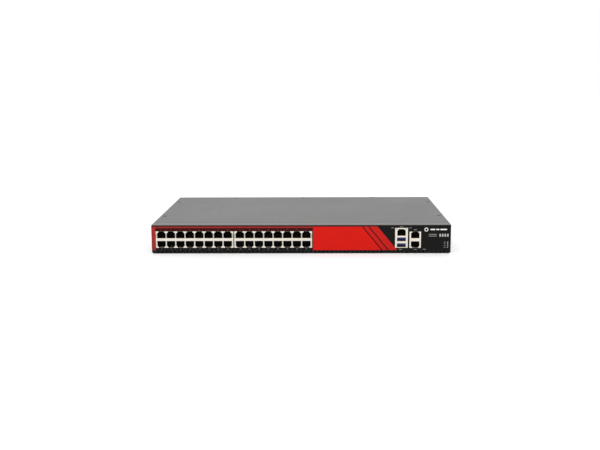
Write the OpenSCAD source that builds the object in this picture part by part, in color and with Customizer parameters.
// Rack-mount network security appliance, one rack unit high, in millimetres.
// +Z is up, -Y is the front with the ports, and the origin is the middle of the underside.

/* [Case] */
// Width of the case between its side faces
body_w = 440; // [436:1:446]
// Height of the case
body_h = 42.5; // [42:0.1:44]
// Depth of the case from front face to rear face
body_d = 283; // [275:1:320]
// Outside radius of the bends along the lower edges
bend_r = 3.2; // [2:0.1:4]
// Thickness of the tray's sheet
sheet_t = 1.0; // [0.8:0.1:1.2]
// Thickness of the front panel, rear panel and cover
panel_t = 1.2; // [1:0.1:1.5]
// Width of the tray's top flanges, measured from the outside
flange_w = 12; // [10:0.5:14]
// Depth of the front panel's top lip
lip_d = 22; // [20:0.5:26]
// Gap between the lip and the cover
seam_gap = 0.5; // [0.2:0.1:0.8]
// Thickness of the printed label on the front
label_t = 0.25; // [0.2:0.05:0.3]
// How far the jacks stand in front of the front panel
front_proud = 0.5; // [0.4:0.1:1]
// How far the ground stud stands behind the rear panel
rear_proud = 9; // [8:0.5:12]

/* [Console ports] */
// Middle of each bank of ports, across the case
bank_x = [-156.4, -40.6];
// Port columns in each bank
bank_columns = 8; // [4:1:8]
// Distance between port columns
port_pitch = 13.97; // [13.6:0.01:14]
// Height of the middle of a bank
bank_z = 20.9; // [20.6:0.1:21.1]
// Width of a bank's metal shield
bank_w = 114.6; // [114:0.1:115]
// Height of a bank's metal shield
bank_h = 24.6; // [24.4:0.1:24.8]
// Depth of a bank behind the front panel
bank_d = 26; // [24:0.5:28]
// Half the thickness of the web between the two rows
web_half = 2.0; // [1.9:0.05:2.1]

/* [Jack opening] */
// Width of a modular jack's opening
jack_w = 12.3; // [12:0.1:12.4]
// Height of the opening's wide part
jack_h = 7.4; // [7:0.1:7.6]
// Height up to the top of its slanted corners
corner_h = 9.2; // [9:0.1:9.4]
// Width of the latch notch
latch_w = 8.0; // [7.4:0.1:8.2]
// Height up to the top of a closed latch notch
latch_h = 9.9; // [9.7:0.1:10]
// Depth of a jack's hollow
jack_d = 13; // [12:0.5:14]

/* [Network jacks] */
// Middle of the combined network and serial-bus jack
combo_x = 147.7; // [146:0.1:149]
// Width of the combined jack
combo_w = 18.6; // [18:0.1:19]
// Lowest and highest points of the combined jack
combo_z = [8.3, 37.9];
// Middle heights of its two bus openings
bus_z = [12.1, 20.9];
// Width of a bus opening
bus_w = 13.1; // [12.9:0.1:13.2]
// Height of a bus opening
bus_h = 5.7; // [5.5:0.1:5.8]
// Height of the base of the combined jack's network opening
combo_jack_z = 26.3; // [26.2:0.1:26.5]
// Middle of the stacked pair of network jacks
pair_x = 167.8; // [167:0.1:169]
// Width of the stacked pair
pair_w = 16.8; // [16.6:0.1:17.2]
// Height of the middle of the stacked pair
pair_z = 20.25; // [20.2:0.05:20.4]
// Height of the stacked pair's shield
pair_h = 24.3; // [24.2:0.1:24.6]
// Half the thickness of the web between the stacked pair's openings
pair_web_half = 2.3; // [2.2:0.05:2.4]
// Depth of the network jacks behind the front panel
network_d = 22; // [20:0.5:24]

/* [Front details] */
// Distance between the small vent holes
vent_pitch = 6.1; // [5.5:0.1:7]
// Diameter of the vent holes
vent_hole_d = 2.6; // [2:0.1:2.8]
// Height of the vent row
vent_z = 2.75; // [2.5:0.05:3]
// Vent holes in the row
vent_count = 70; // [60:1:70]
// Lowest and highest edges of the printed label
label_z = [4.6, 41.3];
// Width of the printed label
label_w = 439; // [436:0.5:439]
// Middle of the column of status lights
status_x = 215.4; // [214:0.1:216]
// Heights of the status lights
status_z = [8.9, 11.5, 14.1, 16.7];
// Radius of a status light
status_r = 0.75; // [0.5:0.05:1]
// Middle of the reset button, across and up
reset_at = [180.5, 10.4];
// Radius of the reset button's plunger
reset_r = 1.2; // [1:0.1:1.4]
// Travel of the reset button
reset_travel = 0.5; // [0.3:0.1:0.6]

/* [Boards] */
// Underside of the boards above the floor of the tray
board_z = 6.4; // [6:0.1:6.4]
// Thickness of the boards
board_t = 1.6; // [1.2:0.1:1.6]
// Depth of the main board
board_d = 146; // [140:1:146]
// Width of the main board
board_w = 433; // [430:0.5:433]

/* [Power] */
// Middle of each power supply
supply_x = [-184, -86];
// Width of a power supply board
supply_w = 54; // [50:1:60]
// Length of a power supply board
supply_d = 94; // [90:1:94]
// Width of a power inlet's flange
inlet_w = 50; // [48:0.5:52]
// Height of a power inlet's flange
inlet_h = 28; // [27:0.5:29]
// Height of the middle of the inlets
inlet_z = 20.6; // [20:0.1:22]
// Depth of an inlet behind the rear face
inlet_d = 24; // [23:0.5:25]
// Depth of the plug socket
socket_d = 17; // [16:0.5:18]
// Tilt of a rocker when it is switched on
rocker_tilt = 7; // [5:0.5:8]
// Radius on which a rocker's ends turn
rocker_r = 9.4; // [9:0.1:9.5]

/* [Fans] */
// Middle of each fan
fan_x = [38, 82, 160];
// Side of a fan's square frame
fan_side = 40; // [40:1:40]
// Depth of a fan
fan_d = 20; // [15:1:28]
// Diameter of a fan's duct
fan_duct = 37.6; // [37:0.1:38]
// Diameter of a fan's hub
hub_d = 19; // [17:0.5:21]
// Blades on a fan
blade_count = 7; // [5:1:9]
// Distance between a fan's screws
fan_pitch = 32; // [32:1:32]
// Gap between moving and fixed round surfaces, on the radius
running_gap = 0.05; // [0.02:0.01:0.1]

/* [Rack ears] */
// Distance of the first ear holes behind the front face
ear_y = 36; // [34:1:40]
// Distance between the ear holes along the case
ear_pitch_y = 32; // [30:1:34]
// Distance between the ear holes up the case
ear_pitch_z = 20; // [18:0.5:20]
// Height of the middle of the ear holes
ear_z = 21; // [20:0.5:22]
// Radius of the threads' bore in the ear nuts
ear_bore_r = 1.65; // [1.6:0.05:1.7]

/* [Hidden] */
$fn = 48;
total_d = front_proud + body_d + rear_proud;
front_y = -total_d / 2 + front_proud;
rear_y = front_y + body_d;
half_w = body_w / 2;
inner_y = front_y + panel_t;
rear_inner_y = rear_y - panel_t;
lid_z = body_h - panel_t;
board_top = board_z + board_t;
cover_y = front_y + lip_d + seam_gap;
shield_t = 0.35;
bank_inner_w = bank_w - 2 * shield_t;
divider_w = port_pitch - jack_w;
module_gap = 0.3;
bank_front = front_y - front_proud + shield_t;
bank_back = front_y + bank_d - shield_t;
bank_half_h = bank_h / 2 - shield_t;
jack_back = front_y + jack_d;
lamp_y = front_y + 6;
lamp_window = [2.6, 1.9];
lamp_window_at = [6.5, 36.2];

// Cover screws: five along the rear and sides, as distances across and behind the front face
side_screw_x = half_w - 7;
cover_screws_at = concat(
    [for (s = [-1, 1], y = [80, 225]) [s * side_screw_x, front_y + y]],
    [for (x = [-120, 0, 120]) [x, front_y + 275]]);
screw_r = 1.5;
head_r = 2.75;
tab_w = 16;
tab_d = 14;
side_tab_z = [8, 36];
side_screw_z = [13, 31];
side_screw_y = [front_y + 8, rear_y - 8];
ear_holes = [for (y = [0, ear_pitch_y], z = [-0.5, 0.5])
    [front_y + ear_y + y, ear_z + z * ear_pitch_z]];

fan_z = sheet_t + fan_side / 2 + 0.15;
fan_y = rear_inner_y - fan_d;
strut_t = 3;
hub_gap = 0.6;
shaft_r = 1;
fan_hole_r = 1.7;
grille_pitch = 4.7;
grille_hole_r = 1.85;

socket_x = -9.5;
switch_x = 15;
switch_w = 12.6;
switch_h = 19.6;
switch_d = 9;
rocker_w = 12;
pivot_y = rear_y + 0.5;
pivot_r = 1.2;
flange_t = 2;
pin_w = 2;
pin_h = 4;
pins_at = [[-7, -2], [7, -2], [0, 2]];
pin_back = inlet_d + 6;

supply_front_y = rear_y - 36 - supply_d;
ground_at = [-20, 12];
stud_r = 2;
stud_collar_r = 2.6;

reset_switch_y = front_y + 4.6;
button_front = front_y + 2.4;
button_length = 3.6;

cpu_at = [92, front_y + 84];
memory_at = [160, front_y + 62];
storage_at = [150, front_y + 112];
cell_at = [-105, front_y + 116];
output_header_y = front_y + 128;
fan_header_x = [32, 84, 140];
fan_header_y = front_y + 136;

standoffs_at = concat(
    [for (x = [-205, -70, 70, 200], y = [34, 138]) [x, front_y + y]],
    [for (c = supply_x, s = [-1, 1], y = [5, supply_d - 5])
        [c + s * (supply_w / 2 - 4), supply_front_y + y]]);

// ---- shared shapes ----

// Extrudes an outline drawn across and up, from y0 towards the rear
module along_y(y0, length) {
    translate([0, y0 + length, 0]) rotate([90, 0, 0]) linear_extrude(length) children();
}

// Extrudes an outline drawn along and up, from x0 towards the right
module along_x(x0, length) {
    translate([x0, 0, 0]) rotate([90, 0, 90]) linear_extrude(length) children();
}

// A box given by its lowest corner and its highest corner
module block(low, high) {
    translate(low) cube(high - low);
}

// A rectangle about the middle with round corners
module rounded(w, h, r) {
    square([w - 2 * r, h], center = true);
    square([w, h - 2 * r], center = true);
    for (x = [-1, 1], y = [-1, 1])
        translate([x * (w / 2 - r), y * (h / 2 - r)]) circle(r);
}

// The case seen from the front: square above, round at the lower corners
module case_outline(half, low, high, r) {
    translate([-half, low + r]) square([2 * half, high - low - r]);
    translate([-half + r, low]) square([2 * (half - r), high - low]);
    for (s = [-1, 1]) translate([s * (half - r), low + r]) circle(r);
}

// A straight rod between two points
module rod(a, b, r) {
    d = b - a;
    translate(a) rotate([0, acos(d.z / norm(d)), atan2(d.y, d.x)])
        cylinder(h = norm(d), r = r, $fn = 16);
}

// An insulated wire through a few points, a little thicker where it bends
module wire(points, r) {
    for (i = [1:len(points) - 1]) rod(points[i - 1], points[i], r);
    for (i = [1:len(points) - 2]) translate(points[i]) sphere(r * 1.15, $fn = 16);
}

// A flat-head screw whose head is flush with z = 0 and whose shank points down
module flat_screw(length) {
    difference() {
        union() {
            translate([0, 0, -panel_t]) cylinder(h = panel_t, r1 = screw_r, r2 = head_r);
            translate([0, 0, -length]) cylinder(h = length - panel_t / 2, r = screw_r - running_gap);
        }
        for (a = [0, 90]) rotate(a) translate([-1.5, -0.3, -0.7]) cube([3, 0.6, 1]);
    }
}

// The hole that a flat-head screw sits in
module flat_hole(depth) {
    translate([0, 0, -panel_t]) cylinder(h = panel_t, r1 = screw_r, r2 = head_r);
    translate([0, 0, -depth]) cylinder(h = depth + 1, r = screw_r);
}

// A modular jack's opening, with its base at zero and its latch notch reaching up to top
module jack_outline(top = latch_h) {
    half = jack_w / 2;
    notch = latch_w / 2;
    polygon([[-half, 0], [half, 0], [half, jack_h], [notch, corner_h], [notch, top],
        [-notch, top], [-notch, corner_h], [-half, jack_h]]);
}

// Eight sprung fingers on one carrier bar, along the base of a jack
module jack_fingers() {
    finger_pitch = 1.02;
    finger_w = 0.45;
    finger_t = 0.3;
    rise = 1.1;
    reach = [2.5, 11.5];
    for (i = [0:7]) along_x((i - 3.5) * finger_pitch - finger_w / 2, finger_w) polygon([
        [reach[0], 0.05], [reach[1], rise], [jack_d, rise],
        [jack_d, rise + finger_t], [reach[1], rise + finger_t], [reach[0], 0.05 + finger_t]]);
    block([-4 * finger_pitch, reach[1] + 0.9, rise], [4 * finger_pitch, jack_d, rise + finger_t]);
}

// Places a child at every console port, turned over in the lower row
module each_port() {
    for (bank = bank_x, column = [0:bank_columns - 1], row = [-1, 1])
        translate([bank + (column - (bank_columns - 1) / 2) * port_pitch, 0, bank_z])
            mirror([0, 0, row < 0 ? 1 : 0]) translate([0, 0, web_half]) children();
}

// Places a child at both jacks of the stacked pair
module each_pair_jack() {
    for (row = [-1, 1]) translate([pair_x, 0, pair_z])
        mirror([0, 0, row < 0 ? 1 : 0]) translate([0, 0, pair_web_half]) children();
}

// Places a child at the base of the combined jack's network opening
module combo_jack() {
    translate([combo_x, 0, combo_jack_z]) children();
}

// ---- case ----

module chassis_tray() {
    color("#1d1e21") difference() {
        along_y(inner_y, rear_y - inner_y) difference() {
            case_outline(half_w, 0, lid_z, bend_r);
            case_outline(half_w - sheet_t, sheet_t, lid_z - sheet_t, bend_r - sheet_t);
            translate([-half_w + flange_w, bend_r]) square([body_w - 2 * flange_w, body_h]);
        }
        for (s = [-1, 1], y = [80, 225])
            translate([s * side_screw_x, front_y + y, lid_z - 2]) cylinder(h = 3, r = screw_r + 0.1);
        for (s = [-1, 1], h = ear_holes)
            translate([s * (half_w - 2), h[0], h[1]]) rotate([0, s * 90, 0]) cylinder(h = 4, r = 2.7);
        for (s = [-1, 1], y = side_screw_y, z = side_screw_z)
            translate([s * half_w, y, z]) rotate([0, s * 90, 0]) flat_hole(3);
    }
}

// The cut-outs that the front panel and its label share
module front_cutouts(grow) {
    along_y(front_y - 1, 4) {
        bank_left = bank_x[0] - bank_w / 2;
        bank_right = bank_x[1] + bank_w / 2;
        translate([(bank_left + bank_right) / 2, bank_z])
            square([bank_right - bank_left + 2 * grow, bank_h + 2 * grow], center = true);
        translate([combo_x, (combo_z[0] + combo_z[1]) / 2])
            square([combo_w + 2 * grow, combo_z[1] - combo_z[0] + 2 * grow], center = true);
        translate([pair_x, pair_z]) square([pair_w + 2 * grow, pair_h + 2 * grow], center = true);
        for (z = status_z) translate([status_x, z]) circle(status_r + grow / 4);
        translate(reset_at) circle(0.9);
    }
}

module front_panel() {
    edge_r = 1;
    color("#1b1c1e") difference() {
        union() {
            intersection() {
                along_x(-half_w, body_w) difference() {
                    translate([front_y, 0]) square([lip_d, body_h]);
                    translate([front_y + panel_t, -1]) square([lip_d, lid_z + 1]);
                    difference() {
                        translate([front_y, body_h - edge_r]) square(edge_r);
                        translate([front_y + edge_r, body_h - edge_r]) circle(edge_r);
                    }
                }
                along_y(front_y, lip_d) case_outline(half_w, 0, body_h, bend_r);
            }
            block([-half_w + flange_w + 3, cover_y - 8, lid_z - panel_t],
                [half_w - flange_w - 3, cover_y + 8, lid_z]);
            for (s = [-1, 1]) mirror([s < 0 ? 1 : 0, 0, 0])
                block([half_w - sheet_t - panel_t, inner_y, side_tab_z[0]],
                    [half_w - sheet_t, inner_y + tab_d, side_tab_z[1]]);
        }
        front_cutouts(0.1);
        along_y(front_y - 1, 4) for (i = [0:vent_count - 1])
            translate([(i - (vent_count - 1) / 2) * vent_pitch, vent_z]) circle(vent_hole_d / 2);
        for (s = [-1, 1], z = side_screw_z)
            translate([s * half_w, side_screw_y[0], z]) rotate([0, s * 90, 0]) flat_hole(5);
    }
}

module grille() {
    rings = 4;
    for (row = [-rings:rings], i = [-rings:rings]) {
        p = [(i + (abs(row) % 2) / 2) * grille_pitch, row * grille_pitch * sin(60)];
        if (norm(p) < fan_duct / 2 - grille_hole_r * 0.6) translate(p) circle(grille_hole_r, $fn = 24);
    }
}

module rear_panel() {
    color("#1d1e21") difference() {
        union() {
            along_y(rear_inner_y, panel_t) difference() {
                case_outline(half_w - sheet_t, sheet_t, lid_z, bend_r - sheet_t);
                for (s = [-1, 1]) translate([s * half_w, lid_z])
                    square([2 * flange_w, 2 * sheet_t], center = true);
            }
            for (x = [-120, 0, 120])
                block([x - tab_w / 2, rear_y - tab_d, lid_z - panel_t],
                    [x + tab_w / 2, rear_inner_y, lid_z]);
            for (s = [-1, 1]) mirror([s < 0 ? 1 : 0, 0, 0])
                block([half_w - sheet_t - panel_t, rear_y - tab_d, side_tab_z[0]],
                    [half_w - sheet_t, rear_inner_y, side_tab_z[1]]);
        }
        along_y(rear_inner_y - 1, 4) {
            for (x = supply_x) translate([x, inlet_z]) square([inlet_w - 3, inlet_h - 4], center = true);
            for (x = fan_x) translate([x, fan_z]) {
                grille();
                for (i = [-0.5, 0.5], j = [-0.5, 0.5])
                    translate([i, j] * fan_pitch) circle(fan_hole_r + 0.2);
            }
            translate(ground_at) circle(stud_collar_r + running_gap);
        }
        for (x = [-120, 0, 120])
            translate([x, front_y + 275, lid_z - 3]) cylinder(h = 4, r = screw_r + 0.1);
        for (s = [-1, 1], z = side_screw_z)
            translate([s * half_w, side_screw_y[1], z]) rotate([0, s * 90, 0]) flat_hole(5);
    }
}

module top_cover() {
    color("#77787a") difference() {
        block([-half_w, cover_y, lid_z], [half_w, rear_y, body_h]);
        for (p = cover_screws_at) translate([p.x, p.y, body_h]) flat_hole(3);
    }
}

module cover_screws() {
    color("#2a2a2c") for (p = cover_screws_at) translate([p.x, p.y, body_h]) flat_screw(5);
}

module cover_nuts() {
    nut_h = 2.4;
    color("#c9ccce") for (p = cover_screws_at) {
        under = lid_z - (abs(p.x) > 200 ? sheet_t : panel_t);
        translate([p.x, p.y, under - nut_h]) difference() {
            cylinder(h = nut_h, r = 3.2);
            translate([0, 0, -1]) cylinder(h = nut_h + 2, r = screw_r);
        }
    }
}

module side_screws() {
    color("#2a2a2c") for (s = [-1, 1], y = side_screw_y, z = side_screw_z)
        translate([s * half_w, y, z]) rotate([0, s * 90, 0]) flat_screw(3);
}

module ear_nuts() {
    color("#c9ccce") for (s = [-1, 1], h = ear_holes)
        translate([s * half_w, h[0], h[1]]) rotate([0, -s * 90, 0]) difference() {
            union() {
                cylinder(h = 2.6, r = 2.7);
                translate([0, 0, sheet_t]) cylinder(h = 1.6, r = 3.6);
            }
            translate([0, 0, -1]) cylinder(h = 5, r = ear_bore_r);
        }
}

module front_label() {
    color("#c81f18") difference() {
        along_y(front_y - label_t, label_t)
            translate([0, (label_z[0] + label_z[1]) / 2]) rounded(label_w, label_z[1] - label_z[0], 0.8);
        front_cutouts(0.1);
    }
}

// ---- console ports ----

module bank_shield(x) {
    color("#d8d2c4") difference() {
        block([x - bank_w / 2, front_y - front_proud, bank_z - bank_h / 2],
            [x + bank_w / 2, front_y + bank_d, bank_z + bank_h / 2]);
        block([x - bank_inner_w / 2, front_y - front_proud + shield_t, bank_z - bank_h / 2 + shield_t],
            [x + bank_inner_w / 2, front_y + bank_d - shield_t, bank_z + bank_h / 2 - shield_t]);
        for (column = [0:bank_columns - 1], row = [-1, 1])
            translate([x + (column - (bank_columns - 1) / 2) * port_pitch, 0, bank_z])
                mirror([0, 0, row < 0 ? 1 : 0]) translate([0, 0, web_half])
                    along_y(front_y - front_proud - 1, 3) jack_outline(bank_h / 2);
    }
}

module bank_shield_left() { bank_shield(bank_x[0]); }
module bank_shield_right() { bank_shield(bank_x[1]); }

// The middles of the walls between and beside the ports of one bank
function wall_x(bank) = [for (i = [0:bank_columns]) bank + (i - bank_columns / 2) * port_pitch];

// A wall's left and right sides, where the two end walls reach out to the shield
function wall_span(bank, i, half) = let (x = wall_x(bank)[i]) [
    i == 0 ? bank - bank_inner_w / 2 : x - half,
    i == bank_columns ? bank + bank_inner_w / 2 : x + half];

module port_dividers() {
    color("#222326") for (bank = bank_x, i = [0:bank_columns], row = [-1, 1]) {
        span = wall_span(bank, i, divider_w / 2);
        mirror_at(bank_z, row) block([span[0], bank_front, bank_z + web_half],
            [span[1], jack_back, bank_z + web_half + jack_h]);
    }
}

// Turns a child over about a height for the lower row
module mirror_at(z, row) {
    translate([0, 0, z]) mirror([0, 0, row < 0 ? 1 : 0]) translate([0, 0, -z]) children();
}

module port_latch_guides() {
    color("#222326") for (bank = bank_x, i = [0:bank_columns], row = [-1, 1]) {
        low = bank_z + web_half;
        high = bank_z + bank_half_h;
        wall = wall_span(bank, i, divider_w / 2);
        guide = wall_span(bank, i, (port_pitch - latch_w) / 2);
        mirror_at(bank_z, row) along_y(bank_front, jack_back - bank_front) polygon([
            [wall[0], low + jack_h], [wall[1], low + jack_h], [guide[1], low + corner_h],
            [guide[1], high], [guide[0], high], [guide[0], low + corner_h]]);
    }
}

module port_webs() {
    color("#222326") for (bank = bank_x)
        block([bank - bank_inner_w / 2, bank_front, bank_z - web_half],
            [bank + bank_inner_w / 2, jack_back, bank_z + web_half]);
}

module contact_modules() {
    color("#2b2c30") for (bank = bank_x, column = [0:bank_columns - 1]) {
        x = bank + (column - (bank_columns - 1) / 2) * port_pitch;
        half = port_pitch / 2 - module_gap / 2;
        block([x - half, jack_back, bank_z - bank_half_h], [x + half, bank_back, bank_z + bank_half_h]);
    }
}

module port_contacts() {
    color("#d6ad4a") translate([0, front_y, 0]) each_port() jack_fingers();
}

// ---- network jacks ----

module combo_shield() {
    front = front_y - front_proud;
    color("#cfcabd") difference() {
        block([combo_x - combo_w / 2, front, combo_z[0]],
            [combo_x + combo_w / 2, front_y + network_d, combo_z[1]]);
        block([combo_x - combo_w / 2 + shield_t, front + shield_t, combo_z[0] + shield_t],
            [combo_x + combo_w / 2 - shield_t, front_y + network_d - shield_t, combo_z[1] - shield_t]);
        combo_openings(front - 1, 3);
        along_y(front - 1, 3) jack_light_outlines();
    }
}

// The outlines of the two light windows above the network opening
module jack_light_outlines() {
    for (s = [-1, 1]) translate([combo_x + s * lamp_window_at.x, lamp_window_at.y])
        square(lamp_window, center = true);
}

// The combined jack's three openings, as cutting solids
module combo_openings(y0, length) {
    combo_jack() along_y(y0, length) jack_outline();
    for (z = bus_z) translate([combo_x, 0, z]) along_y(y0, length) square([bus_w, bus_h], center = true);
}

module combo_housing() {
    color("#1e1f22") difference() {
        block([combo_x - combo_w / 2 + shield_t, bank_front, combo_z[0] + shield_t],
            [combo_x + combo_w / 2 - shield_t, front_y + network_d - shield_t, combo_z[1] - shield_t]);
        combo_openings(front_y - 2, jack_d + 2);
        along_y(front_y - 2, 8) jack_light_outlines();
    }
}

module bus_tongues() {
    tongue_w = 11.1;
    tongue_t = 1.8;
    tongue_lift = 0.75;
    color("#1e4fae") for (z = bus_z)
        block([combo_x - tongue_w / 2, front_y + 0.6, z + tongue_lift - tongue_t / 2],
            [combo_x + tongue_w / 2, front_y + jack_d, z + tongue_lift + tongue_t / 2]);
}

module bus_contacts() {
    contact_w = 1;
    contact_t = 0.15;
    color("#d6ad4a") for (z = bus_z, x = [-3.5, -1, 1, 3.5])
        block([combo_x + x - contact_w / 2, front_y + 1.4, z - 0.15 - contact_t],
            [combo_x + x + contact_w / 2, front_y + jack_d - 1, z - 0.15]);
}

module jack_lights() {
    color("#b7c9a8") along_y(bank_front, front_y + 6 - bank_front) jack_light_outlines();
}

module pair_shield() {
    front = front_y - front_proud;
    color("#cfcabd") difference() {
        block([pair_x - pair_w / 2, front, pair_z - pair_h / 2],
            [pair_x + pair_w / 2, front_y + network_d, pair_z + pair_h / 2]);
        block([pair_x - pair_w / 2 + shield_t, front + shield_t, pair_z - pair_h / 2 + shield_t],
            [pair_x + pair_w / 2 - shield_t, front_y + network_d - shield_t,
                pair_z + pair_h / 2 - shield_t]);
        each_pair_jack() along_y(front - 1, 3) jack_outline(pair_h / 2);
    }
}

module pair_housing() {
    color("#1e1f22") difference() {
        block([pair_x - pair_w / 2 + shield_t, bank_front, pair_z - pair_h / 2 + shield_t],
            [pair_x + pair_w / 2 - shield_t, front_y + network_d - shield_t,
                pair_z + pair_h / 2 - shield_t]);
        each_pair_jack() along_y(front_y - 2, jack_d + 2) jack_outline(pair_h / 2);
    }
}

module network_contacts() {
    color("#d6ad4a") translate([0, front_y, 0]) {
        combo_jack() jack_fingers();
        each_pair_jack() jack_fingers();
    }
}

// ---- status lights and reset ----

module status_lights() {
    color("#d9e4da") for (z = status_z)
        translate([0, 0, z]) along_y(front_y - label_t, lamp_y - front_y + label_t)
            translate([status_x, 0]) circle(status_r);
}

module status_lamp_block() {
    color("#2b2c30")
        block([status_x - 1.4, lamp_y, board_top], [status_x + 1.4, lamp_y + 4, status_z[3] + 2]);
}

module reset_switch() {
    spare = 0.5;
    bore_back = button_front + button_length + reset_travel + spare;
    color("#2b2c30") difference() {
        block([reset_at.x - 3, reset_switch_y, board_top],
            [reset_at.x + 3, reset_switch_y + 4, board_top + 5.4]);
        translate([reset_at.x, 0, reset_at.y]) along_y(reset_switch_y - 1, bore_back - reset_switch_y + 1)
            circle(reset_r + running_gap);
    }
}

module reset_button() {
    color("#8b1a17") translate([reset_at.x, 0, reset_at.y])
        along_y(button_front, button_length) circle(reset_r);
}

// ---- boards ----

module main_board() {
    color("#1f5a3a") difference() {
        block([-board_w / 2, inner_y + 1, board_z], [board_w / 2, inner_y + 1 + board_d, board_top]);
        for (p = standoffs_at) translate([p.x, p.y, board_z - 1]) cylinder(h = 4, r = 1.6);
    }
}

module board_standoffs() {
    color("#c8a24a") for (p = standoffs_at) translate([p.x, p.y, sheet_t]) difference() {
        cylinder(h = board_z - sheet_t, r = 3, $fn = 6);
        translate([0, 0, 1]) cylinder(h = board_z, r = 1.5);
    }
}

module board_screws() {
    color("#c9ccce") for (p = standoffs_at) translate([p.x, p.y, board_top]) difference() {
        union() {
            cylinder(h = 1.8, r = 2.7);
            translate([0, 0, -5]) cylinder(h = 5.5, r = 1.5 - running_gap);
        }
        for (a = [0, 90]) rotate(a) translate([-1.5, -0.3, 0.9]) cube([3, 0.6, 1]);
    }
}

module processor() {
    color("#50585c") {
        block([cpu_at.x - 15, cpu_at.y - 15, board_top], [cpu_at.x + 15, cpu_at.y + 15, board_top + 1.4]);
        block([cpu_at.x - 9, cpu_at.y - 9, board_top + 1.4],
            [cpu_at.x + 9, cpu_at.y + 9, board_top + 2.2]);
    }
}

module heatsink() {
    base_z = board_top + 2.2;
    base_t = 4;
    fin_h = 20;
    fin_count = 15;
    fin_t = 1.2;
    half = 29;
    color("#8f9498") {
        block([cpu_at.x - half, cpu_at.y - half, base_z],
            [cpu_at.x + half, cpu_at.y + half, base_z + base_t]);
        for (i = [0:fin_count - 1]) {
            x = cpu_at.x - half + i * (2 * half - fin_t) / (fin_count - 1);
            block([x, cpu_at.y - half, base_z + base_t],
                [x + fin_t, cpu_at.y + half, base_z + base_t + fin_h]);
        }
    }
}

module memory_socket() {
    color("#2b2c30") difference() {
        block([memory_at.x - 36, memory_at.y, board_top],
            [memory_at.x + 36, memory_at.y + 7, board_top + 5.2]);
        block([memory_at.x - 34, memory_at.y + 2, board_top + 2],
            [memory_at.x + 34, memory_at.y + 8, board_top + 3.2]);
    }
}

module memory_module() {
    color("#1f5a3a") {
        block([memory_at.x - 33.8, memory_at.y + 2.2, board_top + 2.1],
            [memory_at.x + 33.8, memory_at.y + 32, board_top + 3.1]);
        for (x = [-26, -9, 9, 26])
            block([memory_at.x + x - 5, memory_at.y + 14, board_top + 3.1],
                [memory_at.x + x + 5, memory_at.y + 27, board_top + 4.2]);
    }
}

module storage_module() {
    at = storage_at;
    color("#1f5a3a") {
        block([at.x - 20, at.y, board_top], [at.x - 12, at.y + 22, board_top + 4]);
        block([at.x - 12, at.y, board_top + 2], [at.x + 60, at.y + 22, board_top + 2.8]);
        block([at.x - 2, at.y + 4, board_top + 2.8], [at.x + 12, at.y + 18, board_top + 4]);
        block([at.x + 22, at.y + 4, board_top + 2.8], [at.x + 36, at.y + 18, board_top + 4]);
    }
}

module board_chips() {
    color("#26272a") {
        for (x = [-190:28:20], y = [52, 84])
            block([x - 7, front_y + y - 7, board_top], [x + 7, front_y + y + 7, board_top + 1.4]);
        for (x = [-150, -60])
            block([x - 13, front_y + 116 - 13, board_top], [x + 13, front_y + 116 + 13, board_top + 1.8]);
    }
}

module board_capacitors() {
    color("#3a3f4a") for (x = [30, 44], y = [50, 66, 82, 98, 114])
        translate([x, front_y + y, board_top]) cylinder(h = 11, r = 4);
}

module cell_holder() {
    color("#2b2c30") translate([cell_at.x, cell_at.y, board_top]) difference() {
        cylinder(h = 5, r = 12);
        translate([0, 0, 1.4]) cylinder(h = 5, r = 10.1);
    }
}

module coin_cell() {
    color("#c9ccce") translate([cell_at.x, cell_at.y, board_top + 1.4]) cylinder(h = 3.2, r = 10);
}

module board_headers() {
    color("#e6e2d4") {
        for (x = supply_x)
            block([x - 9, output_header_y, board_top], [x + 9, output_header_y + 9, board_top + 9]);
        for (x = fan_header_x)
            block([x - 4, fan_header_y, board_top], [x + 4, fan_header_y + 6, board_top + 7]);
    }
}

// ---- power supplies ----

module supply_board(x) {
    color("#8a6a2f") difference() {
        block([x - supply_w / 2, supply_front_y, board_z],
            [x + supply_w / 2, supply_front_y + supply_d, board_top]);
        for (p = standoffs_at) translate([p.x, p.y, board_z - 1]) cylinder(h = 4, r = 1.6);
    }
}

module supply_board_1() { supply_board(supply_x[0]); }
module supply_board_2() { supply_board(supply_x[1]); }

module supply_transformers() {
    color("#d9c25a") for (x = supply_x) translate([x, supply_front_y + 40, board_top]) {
        block([-11, -13, 0], [11, 13, 5]);
        block([-8, -10, 5], [8, 10, 17]);
        block([-11, -13, 17], [11, 13, 22]);
    }
}

module supply_capacitors() {
    color("#2c3350") for (x = supply_x) {
        translate([x + 8, supply_front_y + 70, board_top]) cylinder(h = 26, r = 9);
        for (i = [0, 1])
            translate([x - 16 + i * 13, supply_front_y + 15, board_top]) cylinder(h = 18, r = 5);
    }
}

module supply_heatsinks() {
    color("#a9adb0") for (x = supply_x, s = [-1, 1])
        block([x + s * 20 - 1.2, supply_front_y + 24, board_top],
            [x + s * 20 + 1.2, supply_front_y + 58, board_top + 24]);
}

// ---- power inlets ----

// The plug socket: a rectangle with two corners cut off beside the earth pin
module socket_outline() {
    w = 12.3;
    h = 8.4;
    cut = 4;
    polygon([[-w, -h], [w, -h], [w, h - cut], [w - cut, h], [-w + cut, h], [-w, h - cut]]);
}

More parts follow.
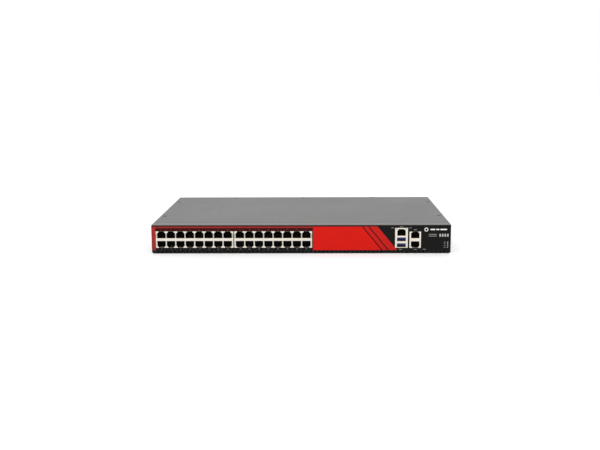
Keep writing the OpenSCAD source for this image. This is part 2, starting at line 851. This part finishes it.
module inlet(x) {
    color("#18191b") translate([x, rear_y, inlet_z]) difference() {
        union() {
            along_y(0, flange_t) rounded(inlet_w, inlet_h, 2);
            block([-inlet_w / 2 + 1.5, -inlet_d, -inlet_h / 2 + 2],
                [inlet_w / 2 - 1.5, 0, inlet_h / 2 - 2]);
        }
        translate([socket_x, 0, 0]) along_y(-socket_d, socket_d + flange_t + 1) socket_outline();
        for (p = pins_at) translate([socket_x + p[0], 0, p[1]])
            along_y(-inlet_d - 1, inlet_d) square([pin_w, pin_h], center = true);
        translate([switch_x, 0, 0]) along_y(-switch_d, switch_d + flange_t + 1)
            square([switch_w, switch_h], center = true);
        translate([switch_x - rocker_w / 2 - 1.4, pivot_y - rear_y, 0]) rotate([0, 90, 0])
            cylinder(h = rocker_w + 2.8, r = pivot_r + running_gap);
    }
}

module inlet_1() { inlet(supply_x[0]); }
module inlet_2() { inlet(supply_x[1]); }

module inlet_pins() {
    color("#cfc8b4") for (x = supply_x, p = pins_at)
        translate([x + socket_x + p[0], rear_y, inlet_z + p[1]])
            along_y(-pin_back, pin_back - 2) square([pin_w, pin_h], center = true);
}

// A rocker about its own pivot, level, with its two pressing faces towards +Y
module rocker_shape() {
    intersection() {
        along_x(-rocker_w / 2, rocker_w) circle(rocker_r);
        along_x(-rocker_w / 2, rocker_w)
            polygon([[-4, -10], [3.2, -10], [2, 0], [3.2, 10], [-4, 10], [-6, 0]]);
    }
    translate([-rocker_w / 2 - 1.2, 0, 0]) rotate([0, 90, 0]) cylinder(h = rocker_w + 2.4, r = pivot_r);
}

module rocker(x) {
    color("#202124") translate([x + switch_x, pivot_y, inlet_z])
        rotate([rocker_tilt, 0, 0]) rocker_shape();
}

module rocker_1() { rocker(supply_x[0]); }
module rocker_2() { rocker(supply_x[1]); }

// ---- internal wiring ----

module mains_leads() {
    color("#7a4a22") for (x = supply_x, i = [0:2]) {
        from = [x + socket_x + pins_at[i][0], rear_y - pin_back, inlet_z + pins_at[i][1]];
        to = [from.x, rear_y - 42, board_top];
        wire([to, [to.x, to.y, 13], [from.x, rear_y - 36, from.z], from], 1.1);
    }
}

module output_leads() {
    color("#b02a24") for (x = supply_x, i = [-1.5:1:1.5]) {
        from = [x + i * 4, supply_front_y + 4, board_top];
        to = [x + i * 4, output_header_y + 5, board_top + 9];
        wire([from, [from.x, from.y - 1, 20], [to.x, to.y + 2, 22], to], 0.9);
    }
}

module fan_leads() {
    color("#26272a") for (f = [0:2], i = [-1, 0, 1]) {
        x = fan_x[f] - 14 + i * 1.6;
        to = [fan_header_x[f] + i * 1.6, fan_header_y + 3, board_top + 7];
        wire([[x, fan_y, 5], [x, fan_y - 12, 5], [to.x, front_y + 150, 19], to], 0.6);
    }
}

// ---- fans ----

module fan_frames() {
    color("#1f2023") for (x = fan_x) translate([x, fan_y, fan_z]) {
        difference() {
            along_y(0, fan_d) rounded(fan_side, fan_side, 2.5);
            along_y(-1, fan_d + 2) circle(fan_duct / 2);
            for (i = [-0.5, 0.5], j = [-0.5, 0.5])
                translate([i, 0, j] * fan_pitch) along_y(-1, fan_d + 2) circle(fan_hole_r);
        }
        difference() {
            union() {
                along_y(fan_d - strut_t, strut_t) circle(hub_d / 2);
                for (a = [45:90:315]) rotate([0, a, 0])
                    block([-1, fan_d - strut_t, hub_d / 2 - 1], [1, fan_d, fan_duct / 2 + 0.5]);
            }
            along_y(fan_d - strut_t - 1, strut_t) circle(shaft_r + running_gap);
        }
    }
}

module fan_rotor(x) {
    blade_tip = fan_duct / 2 - 0.6;
    hub_back = fan_d - strut_t - hub_gap;
    color("#2b2c30") translate([x, fan_y, fan_z]) {
        along_y(1.5, hub_back - 1.5) circle(hub_d / 2);
        along_y(hub_back, strut_t - 1 + hub_gap - 0.2) circle(shaft_r);
        intersection() {
            along_y(2.5, hub_back - 3.5) circle(blade_tip);
            for (i = [0:blade_count - 1]) rotate([0, i * 360 / blade_count, 0])
                translate([0, hub_back / 2 + 1, hub_d / 2 - 1]) rotate([0, 0, 48])
                    block([-0.6, -12, 0], [0.6, 12, 12]);
        }
    }
}

module fan_rotor_1() { fan_rotor(fan_x[0]); }
module fan_rotor_2() { fan_rotor(fan_x[1]); }
module fan_rotor_3() { fan_rotor(fan_x[2]); }

module fan_screws() {
    color("#2a2a2c") for (x = fan_x, i = [-0.5, 0.5], j = [-0.5, 0.5])
        translate([x + i * fan_pitch, rear_y, fan_z + j * fan_pitch]) difference() {
            union() {
                along_y(0, 1.6) circle(3);
                along_y(-9, 9.5) circle(fan_hole_r - running_gap);
            }
            for (a = [0, 90]) rotate([0, a, 0]) block([-1.6, 0.8, -0.3], [1.6, 2, 0.3]);
        }
}

module ground_stud() {
    color("#c9ccce") translate([ground_at.x, rear_y, ground_at.y]) {
        along_y(0, rear_proud) circle(stud_r);
        along_y(-panel_t, panel_t) circle(stud_collar_r);
        along_y(-panel_t - 2, 2) circle(4, $fn = 6);
    }
}

chassis_tray();
front_panel();
rear_panel();
top_cover();
cover_screws();
cover_nuts();
side_screws();
ear_nuts();
front_label();
bank_shield_left();
bank_shield_right();
port_dividers();
port_latch_guides();
port_webs();
contact_modules();
port_contacts();
combo_shield();
combo_housing();
bus_tongues();
bus_contacts();
jack_lights();
pair_shield();
pair_housing();
network_contacts();
status_lights();
status_lamp_block();
reset_switch();
reset_button();
main_board();
board_standoffs();
board_screws();
processor();
heatsink();
memory_socket();
memory_module();
storage_module();
board_chips();
board_capacitors();
cell_holder();
coin_cell();
board_headers();
supply_board_1();
supply_board_2();
supply_transformers();
supply_capacitors();
supply_heatsinks();
inlet_1();
inlet_2();
inlet_pins();
rocker_1();
rocker_2();
mains_leads();
output_leads();
fan_frames();
fan_rotor_1();
fan_rotor_2();
fan_rotor_3();
fan_screws();
fan_leads();
ground_stud();
